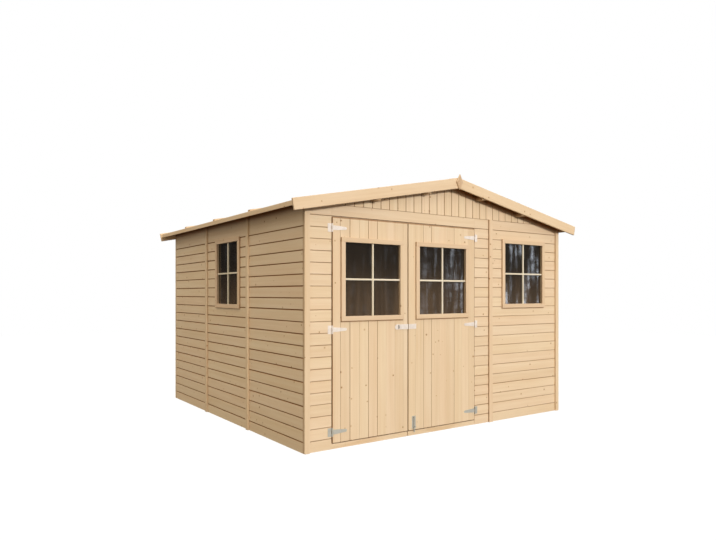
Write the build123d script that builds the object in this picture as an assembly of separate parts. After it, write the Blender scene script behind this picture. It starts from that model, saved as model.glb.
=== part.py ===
from build123d import *
import os
import math

os.makedirs("parts", exist_ok=True)

# All sizes in millimetres. X runs along the front wall, Y to the back, Z up.
# The origin is the middle of the plan outline, on the ground.

# Walls
wall_width = 3020.0
wall_depth = 2990.0
board_t = 16.0
module_x = wall_width / 3
module_y = wall_depth / 3
head_line = 1904.0
panel_gap = 2.0
trim_w = 46.0
trim_t = 16.0
strip_w = 46.0
strip_t = 16.0

# Timber of the frame
post = 45.0
rail_h = 45.0

# Roof
pitch_deg = 11.1
eave_overhang = 135.0
eave_drop = 29.0
deck_t = 18.0
gable_overhang = 105.0
barge_w = 90.0
barge_t = 18.0
barge_foot_out = 2.0
barge_foot_drop = 60.0
eave_board_t = 16.0
eave_board_h = 38.0
roof_panels = 4
roof_panel_gap = 2.0
batten_w = 45.0
batten_t = 16.0
batten_end = 10.0
cap_w = 100.0
cap_t = 16.0
purlin_w = 45.0
purlin_h = 70.0
ridge_w = 45.0
ridge_h = 60.0
purlin_x = (330.0, 870.0)
notch_clear = 1.0
finial_w = 74.0
finial_h = 141.0
finial_t = 16.0
finial_drop = 38.5

# Doorway and leaves
door_left = -1264.0
door_right = 297.0
door_head = 1815.0
meet_x = -500.0
leaf_gap = 7.0
leaf_proud = 6.0
leaf_t = 16.0
leaf_bottom = 44.0
rebate = 8.0
ledge_t = 18.0
ledge_w = 92.0
stile_w = 60.0
frame_clear = 6.0
sill_recess = 2.0
sill_h = 45.0
sill_gap = 7.0
sill_side = 1.0

# Windows: sight size, trim around it, lining and glass
sight_w = 550.0
sight_h = 583.0
side_sight_w = 500.0
casing_w = 38.0
casing_t = 16.0
lining_t = 10.0
lining_depth = 34.0
glass_set = 8.0
glass_t = 4.0
glass_bite = 6.0
glass_clear = 0.5
hole_clear = 0.5
bar_w = 18.0
bar_proud = 3.0
door_window_z = 1322.0
wall_window_z = 1401.0
left_window_x = -869.0
right_window_x = -106.0
front_window_x = 975.0
side_window_y = -40.0

# T-hinges
hinge_z = (133.0, 928.0, 1721.0)
pin_r = 2.5
pin_clear = 0.1
knuckle_r = 5.0
plate_t = 2.5
plate_w = 36.0
plate_h = 66.0
mid_knuckle = 25.0
knuckle_clear = 0.5
strap_len = 135.0
strap_root = 38.0
strap_tip = 22.0
strap_start = 9.0

# Hasp
hasp_z = 930.0
hasp_left = -645.0
hasp_right = -412.0
hasp_h = 42.0
hasp_t = 2.5
hasp_open_gap = 6.0
staple_x = -606.0
staple_r = 11.0
staple_wire = 2.5
staple_base_w = 34.0
staple_base_t = 2.5
slot_w = 8.0
slot_h = 32.0

# Drop bolt
bolt_x = -439.0
bolt_plate_w = 38.0
bolt_plate_t = 2.5
bolt_plate_z = (59.0, 165.0)
rod_r = 5.0
rod_z = (29.0, 157.0)
rod_off = 9.0
guide_clear = 0.1
guide_t = 3.0
guide_h = 14.0
knob_len = 16.0
knob_r = 4.0

# Floor
bearer_w = 70.0
bearer_h = 26.0
floor_t = 19.0
floor_clear = 2.0

# Derived planes
half_w = wall_width / 2
half_d = wall_depth / 2
front_y = -half_d
slope = math.tan(math.radians(pitch_deg))
eave_x = half_w + eave_overhang
eave_under_z = head_line - eave_drop
barge_foot_x = eave_x + barge_foot_out
barge_foot_z = eave_under_z - barge_foot_drop
barge_out = half_d + gable_overhang
barge_in = barge_out - barge_t
deck_tv = deck_t / math.cos(math.radians(pitch_deg))
leaf_y = front_y - leaf_proud
leaf_top = door_head - leaf_gap
inner_x = half_w - board_t - post
inner_y = half_d - board_t - post


def under(x):
    # Height of the underside of the roof boards over a place across the shed.
    return eave_under_z + (eave_x - abs(x)) * slope


def box(x0, x1, y0, y1, z0, z1):
    return Pos((x0 + x1) / 2, (y0 + y1) / 2, (z0 + z1) / 2) * Box(x1 - x0, y1 - y0, z1 - z0)


def prism(points, y0, y1):
    # A profile drawn across the shed, carried from y0 to y1 along it.
    face = make_face(Polyline(*[(x, 0, z) for x, z in points], close=True))
    solid = extrude(face, amount=y1 - y0, dir=(0, 1, 0))
    return Pos(0, y0, 0) * solid


def sloped(x_low, x_high, drop, rise, y0, y1):
    # A piece that follows the roof slope between two places across the shed.
    pts = [(x_low, under(x_low) + drop), (x_high, under(x_high) + drop)]
    pts += [(x_high, under(x_high) + rise), (x_low, under(x_low) + rise)]
    return prism(pts, y0, y1)


def mirror_x(shape):
    return mirror(shape, about=Plane.YZ)


def mirror_y(shape):
    return mirror(shape, about=Plane.XZ)


def save(name, *solids):
    shape = solids[0] if len(solids) == 1 else Compound(children=list(solids))
    export_step(shape, "parts/" + name + ".step")


# The space over the roof boards' underside, cut from walls, posts and plates
sky_top = under(0) + eave_overhang
sky_points = [(-eave_x, under(eave_x)), (0, under(0)), (eave_x, under(eave_x))]
sky_points += [(eave_x, sky_top), (-eave_x, sky_top)]
sky = prism(sky_points, -half_d - 50, half_d + 50)


# Ridge beam and purlins: square timbers that run from barge board to barge board
ridge_top = [(-ridge_w / 2, under(ridge_w / 2)), (0, under(0)), (ridge_w / 2, under(ridge_w / 2))]
ridge_foot = under(0) - ridge_h
ridge_points = ridge_top + [(ridge_w / 2, ridge_foot), (-ridge_w / 2, ridge_foot)]
ridge_beam = prism(ridge_points, -barge_in, barge_in)


def purlin_points(x, extra):
    half = purlin_w / 2 + extra
    foot = under(x) - purlin_h
    pts = [(x - half, foot), (x - half, under(x - half))]
    pts += [(x + half, under(x + half)), (x + half, foot)]
    return pts


purlins = []
notches = []
for x in purlin_x:
    for side in (-1, 1):
        purlins.append(prism(purlin_points(side * x, 0), -barge_in, barge_in))
        low = under(side * x) - purlin_h
        notches.append(box(side * x - purlin_w / 2 - notch_clear, side * x + purlin_w / 2 + notch_clear,
                           -half_d - 5, half_d + 5, low, sky_top))
notches.append(box(-ridge_w / 2 - notch_clear, ridge_w / 2 + notch_clear,
                   -half_d - 5, half_d + 5, ridge_foot, sky_top))
save("ridge_beam", ridge_beam)
save("roof_purlins", *purlins)


# A window unit: the trim outside, the lining through the wall, a cross of bars
# and the pane behind it.
# It is drawn facing -Y with the wall face at Y = 0 and the middle at the origin.
def window_frame(w, h):
    out_w = w + 2 * casing_w
    out_h = h + 2 * casing_w
    trim = box(-out_w / 2, out_w / 2, -casing_t, 0, -out_h / 2, out_h / 2)
    sleeve = box(-w / 2 - lining_t, w / 2 + lining_t, 0, lining_depth,
                 -h / 2 - lining_t, h / 2 + lining_t)
    light = box(-w / 2, w / 2, -casing_t - 1, lining_depth + 1, -h / 2, h / 2)
    rebate_box = box(-w / 2 - glass_bite, w / 2 + glass_bite, glass_set, lining_depth + 1,
                     -h / 2 - glass_bite, h / 2 + glass_bite)
    upright = box(-bar_w / 2, bar_w / 2, -bar_proud, glass_set, -h / 2 - 1, h / 2 + 1)
    level = box(-w / 2 - 1, w / 2 + 1, -bar_proud, glass_set, -bar_w / 2, bar_w / 2)
    return trim + sleeve - light - rebate_box + upright + level


def window_glass(w, h):
    half_gw = w / 2 + glass_bite - glass_clear
    half_gh = h / 2 + glass_bite - glass_clear
    return box(-half_gw, half_gw, glass_set, glass_set + glass_t, -half_gh, half_gh)


def window_hole(w, h, depth):
    half_hw = w / 2 + lining_t + hole_clear
    half_hh = h / 2 + lining_t + hole_clear
    return box(-half_hw, half_hw, -30, depth, -half_hh, half_hh)


def on_front(x, z, face):
    return Pos(x, face, z)


def on_left(y, z):
    return Pos(-half_w, y, z) * Rot(0, 0, -90)


def on_right(y, z):
    return Pos(half_w, y, z) * Rot(0, 0, 90)


# Front wall: boards beside the doorway, over it, and the window module
clad_in = front_y + board_t
front_wall_left = box(-half_w, door_left, front_y, clad_in, 0, head_line) - sky
seam = module_x / 2
front_wall_right = box(door_right, seam - panel_gap / 2, front_y, clad_in, 0, head_line)
front_wall_header = box(door_left, door_right, front_y, clad_in, door_head, head_line)
front_window_wall = box(seam + panel_gap / 2, half_w, front_y, clad_in, 0, head_line) - sky
front_window_wall -= on_front(front_window_x, wall_window_z, front_y) * window_hole(
    sight_w, sight_h, 60)
save("front_wall_left", front_wall_left)
save("front_wall_right", front_wall_right)
save("front_wall_header", front_wall_header)
save("front_wall_window", front_window_wall)

# Gables: upright boards from the head line to the roof
gable_half = eave_x - (head_line - eave_under_z) / slope
gable = box(-gable_half, gable_half, front_y, clad_in, head_line, sky_top) - sky
for notch in notches:
    gable -= notch
save("front_gable", gable)
save("back_gable", mirror_y(gable))

# Back wall: three plain modules
back = []
edges = [-half_w, -seam, seam, half_w]
for i in range(3):
    left = edges[i] + (panel_gap / 2 if i > 0 else 0)
    right = edges[i + 1] - (panel_gap / 2 if i < 2 else 0)
    back.append(box(left, right, half_d - board_t, half_d, 0, head_line) - sky)
save("back_wall_panels", *back)

# Side walls: three modules each, a window in the middle one
side_y = [-half_d + board_t, -module_y / 2, module_y / 2, half_d - board_t]
for name, side in (("left", -1), ("right", 1)):
    x0 = min(side * half_w, side * (half_w - board_t))
    x1 = max(side * half_w, side * (half_w - board_t))
    place = on_left(side_window_y, wall_window_z) if side < 0 else on_right(side_window_y, wall_window_z)
    for i, part_name in enumerate(("front", "window", "rear")):
        y0 = side_y[i] + (panel_gap / 2 if i > 0 else 0)
        y1 = side_y[i + 1] - (panel_gap / 2 if i < 2 else 0)
        panel = box(x0, x1, y0, y1, 0, sky_top) - sky
        if part_name == "window":
            panel -= place * window_hole(side_sight_w, sight_h, 60)
        save(name + "_wall_" + part_name, panel)
    save(name + "_window_frame", place * window_frame(side_sight_w, sight_h))
    save(name + "_window_glass", place * window_glass(side_sight_w, sight_h))

front_place = on_front(front_window_x, wall_window_z, front_y)
save("front_window_frame", front_place * window_frame(sight_w, sight_h))
save("front_window_glass", front_place * window_glass(sight_w, sight_h))

# Trims on the corners and cover strips on the joints between modules
trim = box(-half_w, -half_w + trim_w, front_y - trim_t, front_y, 0, under(half_w))
trims = [trim, mirror_x(trim), mirror_y(trim), mirror_y(mirror_x(trim))]
save("corner_trims", *trims)

strips = []
front_strip = box(seam - strip_w / 2, seam + strip_w / 2, front_y - strip_t, front_y, 0, head_line)
strips.append(front_strip)
strips.append(mirror_y(front_strip))
strips.append(mirror_y(mirror_x(front_strip)))
for y in (-module_y / 2, module_y / 2):
    strip = box(-half_w - strip_t, -half_w, y - strip_w / 2, y + strip_w / 2, 0, under(half_w + strip_t))
    strips.append(strip)
    strips.append(mirror_x(strip))
save("wall_cover_strips", *strips)

# Frame behind the boards: plates, rails, posts and studs
clad_x = half_w - board_t
clad_y = half_d - board_t
side_plate = box(-clad_x, -inner_x, -clad_y, clad_y, head_line - post, sky_top) - sky
save("side_top_plates", side_plate, mirror_x(side_plate))
cross_plate = box(-inner_x, inner_x, -clad_y, -inner_y, head_line - post, head_line)
save("gable_top_plates", cross_plate, mirror_y(cross_plate))
plate_foot = head_line - post
corner = box(-clad_x, -inner_x, -clad_y, -inner_y, 0, plate_foot)
corners = [corner, mirror_x(corner), mirror_y(corner), mirror_y(mirror_x(corner))]
save("corner_posts", *corners)
side_rail = box(-clad_x, -inner_x, -inner_y, inner_y, 0, rail_h)
save("side_bottom_rails", side_rail, mirror_x(side_rail))
post_l1 = door_left + leaf_gap + rebate
post_l0 = post_l1 - post
post_r0 = door_right - leaf_gap - rebate
post_r1 = post_r0 + post
cross_rails = [box(-inner_x, inner_x, inner_y, clad_y, 0, rail_h)]
cross_rails.append(box(-inner_x, post_l0, -clad_y, -inner_y, 0, rail_h))
cross_rails.append(box(post_r1, inner_x, -clad_y, -inner_y, 0, rail_h))
save("gable_bottom_rails", *cross_rails)
door_posts = [box(post_l0, post_l1, -clad_y, -inner_y, 0, plate_foot)]
door_posts.append(box(post_r0, post_r1, -clad_y, -inner_y, 0, plate_foot))
save("door_posts", *door_posts)
head_foot = leaf_top - rebate
save("door_lintel", box(post_l1, post_r0, -clad_y, -inner_y, head_foot, head_foot + post))
studs = []
for y in (-module_y / 2, module_y / 2):
    stud = box(-clad_x, -inner_x, y - post / 2, y + post / 2, rail_h, plate_foot)
    studs.append(stud)
    studs.append(mirror_x(stud))
for x in (-seam, seam):
    studs.append(box(x - post / 2, x + post / 2, inner_y, clad_y, rail_h, plate_foot))
studs.append(box(seam - post / 2, seam + post / 2, -clad_y, -inner_y, rail_h, plate_foot))
save("wall_studs", *studs)

# Sill under the two leaves, in two lengths: its front part runs under the leaf
# from reveal to reveal, its back part lies between the two posts.
sill_y0 = front_y + sill_recess
sill_top = sill_h - frame_clear
sills = []
for post_x, reveal_x, end_x in ((post_l1, door_left + sill_side, meet_x - sill_gap / 2),
                                (post_r0, door_right - sill_side, meet_x + sill_gap / 2)):
    sill_back = box(min(post_x, end_x), max(post_x, end_x), -clad_y, -inner_y, 0, sill_top)
    sill_front = box(min(reveal_x, end_x), max(reveal_x, end_x), sill_y0, -clad_y, 0, sill_top)
    sills.append(sill_back + sill_front)
save("door_sill", *sills)

# Floor: bearers on the ground and one deck of boards on them
bearers = []
for i in range(5):
    y = (i - 2) * (inner_y - bearer_w) / 2
    bearers.append(box(-inner_x, inner_x, y - bearer_w / 2, y + bearer_w / 2, 0, bearer_h))
save("floor_bearers", *bearers)
save("floor_deck", box(-inner_x + floor_clear, inner_x - floor_clear, -inner_y + floor_clear,
                       inner_y - floor_clear, bearer_h, bearer_h + floor_t))

# Roof boards: four panels a side, with cover battens on their joints
deck_x = eave_x - eave_board_t
span = 2 * barge_in / roof_panels
left_deck = []
left_battens = []
for i in range(roof_panels):
    y0 = -barge_in + i * span + (roof_panel_gap / 2 if i > 0 else 0)
    y1 = -barge_in + (i + 1) * span - (roof_panel_gap / 2 if i < roof_panels - 1 else 0)
    left_deck.append(sloped(-deck_x, 0, 0, deck_tv, y0, y1))
    if i > 0:
        y = -barge_in + i * span
        left_battens.append(sloped(-eave_x + batten_end, -cap_w, deck_tv, deck_tv + batten_t,
                                   y - batten_w / 2, y + batten_w / 2))
save("roof_left_panels", *left_deck)
save("roof_right_panels", *[mirror_x(p) for p in left_deck])
save("roof_battens", *(left_battens + [mirror_x(b) for b in left_battens]))
eave_board = sloped(-eave_x, -deck_x, deck_tv - eave_board_h, deck_tv, -barge_in, barge_in)
save("eave_boards", eave_board, mirror_x(eave_board))

cap_points = [(-cap_w, under(cap_w) + deck_tv), (0, under(0) + deck_tv), (cap_w, under(cap_w) + deck_tv)]
cap_points += [(cap_w, under(cap_w) + deck_tv + cap_t), (0, under(0) + deck_tv + cap_t)]
cap_points += [(-cap_w, under(cap_w) + deck_tv + cap_t)]
save("ridge_cap", prism(cap_points, -barge_in, barge_in))

# Barge boards: cut square at the foot, upright at the peak, with a fine joint
across_x = -barge_w * math.sin(math.radians(pitch_deg))
across_z = barge_w * math.cos(math.radians(pitch_deg))
joint = 0.5
rise = (barge_foot_x - joint) * slope
barge_points = [(-barge_foot_x, barge_foot_z), (-joint, barge_foot_z + rise)]
top_rise = (barge_foot_x - across_x - joint) * slope
barge_points += [(-joint, barge_foot_z + across_z + top_rise)]
barge_points += [(-barge_foot_x + across_x, barge_foot_z + across_z)]
barge = prism(barge_points, -barge_out, -barge_in)
save("front_barge_boards", barge, mirror_x(barge))
save("back_barge_boards", mirror_y(barge), mirror_y(mirror_x(barge)))

finial_z = barge_foot_z + across_z + (barge_foot_x - across_x) * slope - finial_drop
finial_points = [(0, finial_z - finial_h / 2), (finial_w / 2, finial_z)]
finial_points += [(0, finial_z + finial_h / 2), (-finial_w / 2, finial_z)]
finial = prism(finial_points, -barge_out - finial_t, -barge_out)
save("gable_finials", finial, mirror_y(finial))


# Door leaves: upright boards with a light frame behind and a window
def leaf_boards(x0, x1, window_x):
    boards = box(x0, x1, leaf_y, leaf_y + leaf_t, leaf_bottom, leaf_top)
    return boards - on_front(window_x, door_window_z, leaf_y) * window_hole(sight_w, sight_h, 60)


def leaf_frame(x0, x1, window_x):
    # Two stiles and four rails behind the boards, the window between two rails.
    y0 = leaf_y + leaf_t
    y1 = y0 + ledge_t
    z0 = sill_h
    z1 = head_foot - frame_clear
    frame = box(x0, x1, y0, y1, z0, z1)
    gap_h = sight_h / 2 + lining_t + hole_clear
    low_top = door_window_z - gap_h - ledge_w
    in_left = x0 + stile_w
    in_right = x1 - stile_w
    frame -= box(in_left, in_right, y0 - 1, y1 + 1, z0 + ledge_w, z0 + (low_top - z0) / 2)
    frame -= box(in_left, in_right, y0 - 1, y1 + 1, z0 + (low_top - z0) / 2 + ledge_w, low_top)
    top_foot = door_window_z + gap_h + ledge_w
    frame -= on_front(window_x, door_window_z, y0) * window_hole(sight_w, sight_h, 60)
    return frame


left_leaf = (door_left + leaf_gap, meet_x - leaf_gap / 2)
right_leaf = (meet_x + leaf_gap / 2, door_right - leaf_gap)
frame_in = rebate + frame_clear
left_frame = (left_leaf[0] + frame_in, left_leaf[1])
right_frame = (right_leaf[0], right_leaf[1] - frame_in)
for name, leaf, inner, window_x in (("left", left_leaf, left_frame, left_window_x),
                                    ("right", right_leaf, right_frame, right_window_x)):
    place = on_front(window_x, door_window_z, leaf_y)
    save(name + "_door_boards", leaf_boards(leaf[0], leaf[1], window_x))
    save(name + "_door_ledges", leaf_frame(inner[0], inner[1], window_x))
    save(name + "_door_window_frame", place * window_frame(sight_w, sight_h))
    save(name + "_door_window_glass", place * window_glass(sight_w, sight_h))

# T-hinges: the plate on the post side carries the pin and two knuckles, the
# strap turns on the pin with the knuckle between them. Drawn with the pin at
# the origin and the strap towards +X.
pin_y = leaf_y - knuckle_r
wall_off = front_y - pin_y
leaf_off = leaf_y - pin_y
left_pin_x = door_left + leaf_gap / 2
right_pin_x = door_right - leaf_gap / 2


def knuckle(z0, z1):
    return Pos(0, 0, (z0 + z1) / 2) * Cylinder(knuckle_r, z1 - z0)


def hinge_plate():
    body = box(-plate_w - 2, -knuckle_r + 1, wall_off - plate_t, wall_off, -plate_h / 2, plate_h / 2)
    for side in (-1, 1):
        z0 = min(side * (mid_knuckle / 2 + knuckle_clear), side * plate_h / 2)
        z1 = max(side * (mid_knuckle / 2 + knuckle_clear), side * plate_h / 2)
        arm = box(-knuckle_r - 1, -1, 0, wall_off, z0, z1)
        body = body + arm + knuckle(z0, z1)
    pin = Pos(0, 0, 0) * Cylinder(pin_r, plate_h)
    return body + pin


def hinge_strap():
    blade_points = [(strap_start, -strap_root / 2), (strap_len - strap_tip / 2, -strap_tip / 2)]
    blade_points += [(strap_len - strap_tip / 2, strap_tip / 2), (strap_start, strap_root / 2)]
    blade = prism(blade_points, leaf_off - plate_t, leaf_off)
    tip = Pos(strap_len - strap_tip / 2, leaf_off - plate_t / 2, 0) * Rot(90, 0, 0) * Cylinder(
        strap_tip / 2, plate_t)
    neck = box(0, strap_start + 1, leaf_off - plate_t, leaf_off, -mid_knuckle / 2, mid_knuckle / 2)
    body = blade + tip + neck + knuckle(-mid_knuckle / 2, mid_knuckle / 2)
    return body - Cylinder(pin_r + pin_clear, plate_h)


plates = []
left_straps = []
right_straps = []
for z in hinge_z:
    plates.append(Pos(left_pin_x, pin_y, z) * hinge_plate())
    left_straps.append(Pos(left_pin_x, pin_y, z) * hinge_strap())
    plates.append(Pos(right_pin_x, pin_y, z) * mirror_x(hinge_plate()))
    right_straps.append(Pos(right_pin_x, pin_y, z) * mirror_x(hinge_strap()))
save("hinge_plates", *plates)
save("left_hinge_straps", *left_straps)
save("right_hinge_straps", *right_straps)

# Hasp: the strap lies on the staple of the left leaf, its hinge plate is on
# the right leaf, and the pin between them is left open.
staple_out = leaf_y - staple_base_t
strap_y0 = staple_out - hasp_t
hasp_end = left_leaf[1] - (hasp_open_gap - leaf_gap) / 2
strap_body = box(hasp_left + hasp_h / 2, hasp_end, strap_y0, staple_out,
                 hasp_z - hasp_h / 2, hasp_z + hasp_h / 2)
strap_nose = Pos(hasp_left + hasp_h / 2, strap_y0 + hasp_t / 2, hasp_z) * Rot(90, 0, 0) * Cylinder(
    hasp_h / 2, hasp_t)
strap_slot = box(staple_x - slot_w / 2, staple_x + slot_w / 2, strap_y0 - 1, staple_out + 1,
                 hasp_z - slot_h / 2, hasp_z + slot_h / 2)
save("hasp_strap", strap_body + strap_nose - strap_slot)
ring = Rot(0, 90, 0) * Torus(staple_r, staple_wire)
ring = Pos(staple_x, leaf_y - staple_base_t - hasp_t - 3, hasp_z) * ring
ring -= box(staple_x - 10, staple_x + 10, leaf_y - staple_base_t - hasp_t - 3, leaf_y + 40,
            hasp_z - 30, hasp_z + 30)
staple = ring
for side in (-1, 1):
    leg_y0 = leaf_y - staple_base_t - hasp_t - 3
    leg = Pos(staple_x, (leg_y0 + leaf_y) / 2, hasp_z + side * staple_r)
    leg = leg * Rot(90, 0, 0) * Cylinder(staple_wire, leaf_y - leg_y0)
    staple += leg
staple += box(staple_x - staple_base_w / 2, staple_x + staple_base_w / 2, staple_out, leaf_y,
              hasp_z - hasp_h / 2, hasp_z + hasp_h / 2)
save("hasp_staple", staple)
plate_x0 = right_leaf[0] + (hasp_open_gap - leaf_gap) / 2
plate_body = box(plate_x0 + knuckle_r, hasp_right, leaf_y - hasp_t, leaf_y,
                 hasp_z - hasp_h / 2, hasp_z + hasp_h / 2)
plate_knuckle = Pos(plate_x0 + knuckle_r, leaf_y - knuckle_r, hasp_z) * Cylinder(knuckle_r, hasp_h)
save("hasp_plate", plate_body + plate_knuckle)

# Drop bolt: a plate with two guides, the rod slides up and down in them
rod_y = leaf_y - rod_off
bolt_plate = box(bolt_x - bolt_plate_w / 2, bolt_x + bolt_plate_w / 2, leaf_y - bolt_plate_t, leaf_y,
                 bolt_plate_z[0], bolt_plate_z[1])
guide_w = rod_r + guide_clear + guide_t
for z in (bolt_plate_z[0] + 3, bolt_plate_z[1] - 3 - guide_h):
    bolt_plate += box(bolt_x - guide_w, bolt_x + guide_w, rod_y - rod_r - guide_clear - guide_t, leaf_y,
                      z, z + guide_h)
bolt_plate -= Pos(bolt_x, rod_y, 100) * Cylinder(rod_r + guide_clear, 300)
save("bolt_plate", bolt_plate)
rod = Pos(bolt_x, rod_y, (rod_z[0] + rod_z[1]) / 2) * Cylinder(rod_r, rod_z[1] - rod_z[0])
knob_z = bolt_plate_z[0] + 3 + guide_h + knob_r + 1.0
knob = Pos(bolt_x, rod_y - rod_r - knob_len / 2 + 2, knob_z) * Rot(90, 0, 0) * Cylinder(knob_r, knob_len)
save("drop_bolt", rod + knob)
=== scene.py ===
import math

import bpy
import numpy as np
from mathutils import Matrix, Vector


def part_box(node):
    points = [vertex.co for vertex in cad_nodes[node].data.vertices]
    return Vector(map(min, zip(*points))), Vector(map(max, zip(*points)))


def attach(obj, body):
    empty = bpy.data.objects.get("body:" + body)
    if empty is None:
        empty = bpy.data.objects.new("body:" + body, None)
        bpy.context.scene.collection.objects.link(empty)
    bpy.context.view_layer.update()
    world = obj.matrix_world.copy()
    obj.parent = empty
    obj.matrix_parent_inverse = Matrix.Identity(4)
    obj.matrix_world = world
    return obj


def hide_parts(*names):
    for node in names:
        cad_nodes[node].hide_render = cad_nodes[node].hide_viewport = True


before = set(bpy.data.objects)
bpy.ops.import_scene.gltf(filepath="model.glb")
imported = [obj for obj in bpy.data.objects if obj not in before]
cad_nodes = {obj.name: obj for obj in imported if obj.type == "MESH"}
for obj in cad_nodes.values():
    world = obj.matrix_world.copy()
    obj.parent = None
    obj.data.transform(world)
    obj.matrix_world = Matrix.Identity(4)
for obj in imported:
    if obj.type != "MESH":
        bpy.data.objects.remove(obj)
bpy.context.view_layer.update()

# Studio. A white floor that runs out of sight, one broad sun low in front of the
# doors, and a dome that is warmer on the shed's left. The panes mirror a band of
# trees that stands round the dome. The camera stands at a low eye height.
eye_place = (-3.7582, -5.4442, 1.2074)
eye_turn = -0.6074
lens_mm = 30.235
frame_rise = 0.0332
sun_height = math.radians(10)
sun_aside = math.radians(1)
sun_power = 1.84
sun_spread = math.radians(7)
floor_reach = 14.0
floor_drop = 0.0006


def add_node(tree, kind, sockets=None, **options):
    """Adds a shader node, sets its options, then fills its sockets, given by
    name or number, each with a plain value or with a link from another node."""
    made = tree.nodes.new("ShaderNode" + kind)
    for key, value in options.items():
        setattr(made, key, value)
    for key, value in (sockets or {}).items():
        if isinstance(value, bpy.types.NodeSocket):
            tree.links.new(value, made.inputs[key])
        else:
            made.inputs[key].default_value = value
    return made


def calc(tree, operation, first, second=0.5, third=0.5, clamp=False):
    """One sum of up to three numbers, as a node's result."""
    return add_node(tree, "Math", {0: first, 1: second, 2: third},
                    operation=operation, use_clamp=clamp).outputs[0]


def spread(tree, value, low, high, out_low=0.0, out_high=1.0, smooth=True):
    """Value between low and high turned evenly into out_low to out_high."""
    kind = "SMOOTHSTEP" if smooth else "LINEAR"
    return add_node(tree, "MapRange", {0: value, 1: low, 2: high, 3: out_low, 4: out_high},
                    interpolation_type=kind).outputs[0]


def mix_colour(tree, factor, first, second, blend="MIX"):
    """Two colours blended by the factor."""
    return add_node(tree, "Mix", {0: factor, 6: first, 7: second},
                    data_type="RGBA", blend_type=blend).outputs[2]


camera_data = bpy.data.cameras.new("camera")
camera_data.sensor_fit = "HORIZONTAL"
camera_data.sensor_width = 36.0
camera_data.lens = lens_mm
camera_data.shift_y = frame_rise
camera = bpy.data.objects.new("camera", camera_data)
camera.location = eye_place
camera.rotation_euler = (math.radians(90), 0, eye_turn)
bpy.context.scene.collection.objects.link(camera)
bpy.context.scene.camera = camera
bpy.context.scene.view_settings.view_transform = "Standard"

sun_data = bpy.data.lights.new("sun", "SUN")
sun_data.energy = sun_power
sun_data.angle = sun_spread
sun_data.color = (1.0, 0.985, 0.96)
sun = bpy.data.objects.new("sun", sun_data)
sun.rotation_euler = (math.radians(90) - sun_height, 0, sun_aside)
bpy.context.scene.collection.objects.link(sun)

dome = bpy.data.worlds.new("dome")
bpy.context.scene.world = dome
dome.use_nodes = True
sky = dome.node_tree
sky.nodes.clear()
gaze = add_node(sky, "TexCoord").outputs["Generated"]
ray = add_node(sky, "LightPath").outputs
sides = add_node(sky, "SeparateXYZ", {0: gaze}).outputs
to_left = spread(sky, sides[0], -0.9, 0.7, 1.0, 0.0)
upward = spread(sky, sides[2], -0.2, 0.7, 0.55, 1.25)
lit_sky = mix_colour(sky, to_left, (0.66, 0.65, 0.64, 1), (1.07, 0.985, 0.815, 1))
soft_light = add_node(sky, "Background", {"Color": lit_sky, "Strength": upward}).outputs[0]
tall = add_node(sky, "Mapping", {"Vector": gaze, "Scale": (170, 170, 9)}).outputs[0]
trunks = add_node(sky, "TexNoise", {"Vector": tall, "Scale": 1.0, "Detail": 3.0,
                                    "Roughness": 0.62}).outputs[0]
thinner = spread(sky, sides[0], 0.62, 0.76, 0.5, 8.5)
foliage = add_node(sky, "TexNoise", {"Vector": gaze, "Scale": 90.0, "Detail": 2.0}).outputs[0]
leafy = calc(sky, "MULTIPLY", thinner, spread(sky, foliage, 0.36, 0.60, 0.25, 1.3))
gaps = spread(sky, trunks, 0.49, 0.64, 0.14, leafy)
open_sky = spread(sky, sides[2], 0.16, 0.42, 0.0, 1.0)
wood_edge = add_node(sky, "Mix", {0: open_sky, 2: gaps, 3: 1.6}, data_type="FLOAT").outputs[0]
under_foot = spread(sky, sides[2], -0.30, -0.10, 0.25, 1.0)
behind = spread(sky, sides[1], -0.1, 0.4, 1.0, 0.3)
mirror_level = calc(sky, "MULTIPLY", wood_edge, calc(sky, "MULTIPLY", under_foot, behind))
tree_glow = add_node(sky, "Background", {"Color": (0.80, 0.88, 1.0, 1),
                                         "Strength": mirror_level}).outputs[0]
white = add_node(sky, "Background", {"Color": (1, 1, 1, 1), "Strength": 1.0}).outputs[0]
lit = add_node(sky, "MixShader", {0: ray["Is Glossy Ray"], 1: soft_light, 2: tree_glow}).outputs[0]
seen = add_node(sky, "MixShader", {0: ray["Is Camera Ray"], 1: lit, 2: white}).outputs[0]
add_node(sky, "OutputWorld", {"Surface": seen})

floor_paint = bpy.data.materials.new("white_floor")
floor_paint.use_nodes = True
paint = floor_paint.node_tree
paint.nodes.clear()
paint_ray = add_node(paint, "LightPath").outputs
matt = add_node(paint, "BsdfDiffuse", {"Color": (0.13, 0.13, 0.13, 1)}).outputs[0]
glow = add_node(paint, "Emission", {"Color": (1, 1, 1, 1), "Strength": 0.93}).outputs[0]
glowing = add_node(paint, "AddShader", {0: matt, 1: glow}).outputs[0]
shown = add_node(paint, "MixShader", {0: paint_ray["Is Camera Ray"], 1: matt, 2: glowing}).outputs[0]
add_node(paint, "OutputMaterial", {"Surface": shown})
floor_mesh = bpy.data.meshes.new("studio_floor")
floor_corners = np.array([(-1, -1), (1, -1), (1, 1), (-1, 1)]) * floor_reach
floor_points = np.column_stack([floor_corners, np.full(4, -floor_drop)])
floor_mesh.from_pydata(floor_points.tolist(), [], [(0, 1, 2, 3)])
floor_mesh.materials.append(floor_paint)
studio_floor = bpy.data.objects.new("studio_floor", floor_mesh)
bpy.context.scene.collection.objects.link(studio_floor)

# Floor of the shed. Planed tongued boards, nailed across five bearers that lie
# on the ground. The boards run from front to back, with a fine V at each joint.
floor_board = 0.091
floor_vee = 0.0015
luck = np.random.default_rng(2718)


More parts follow.
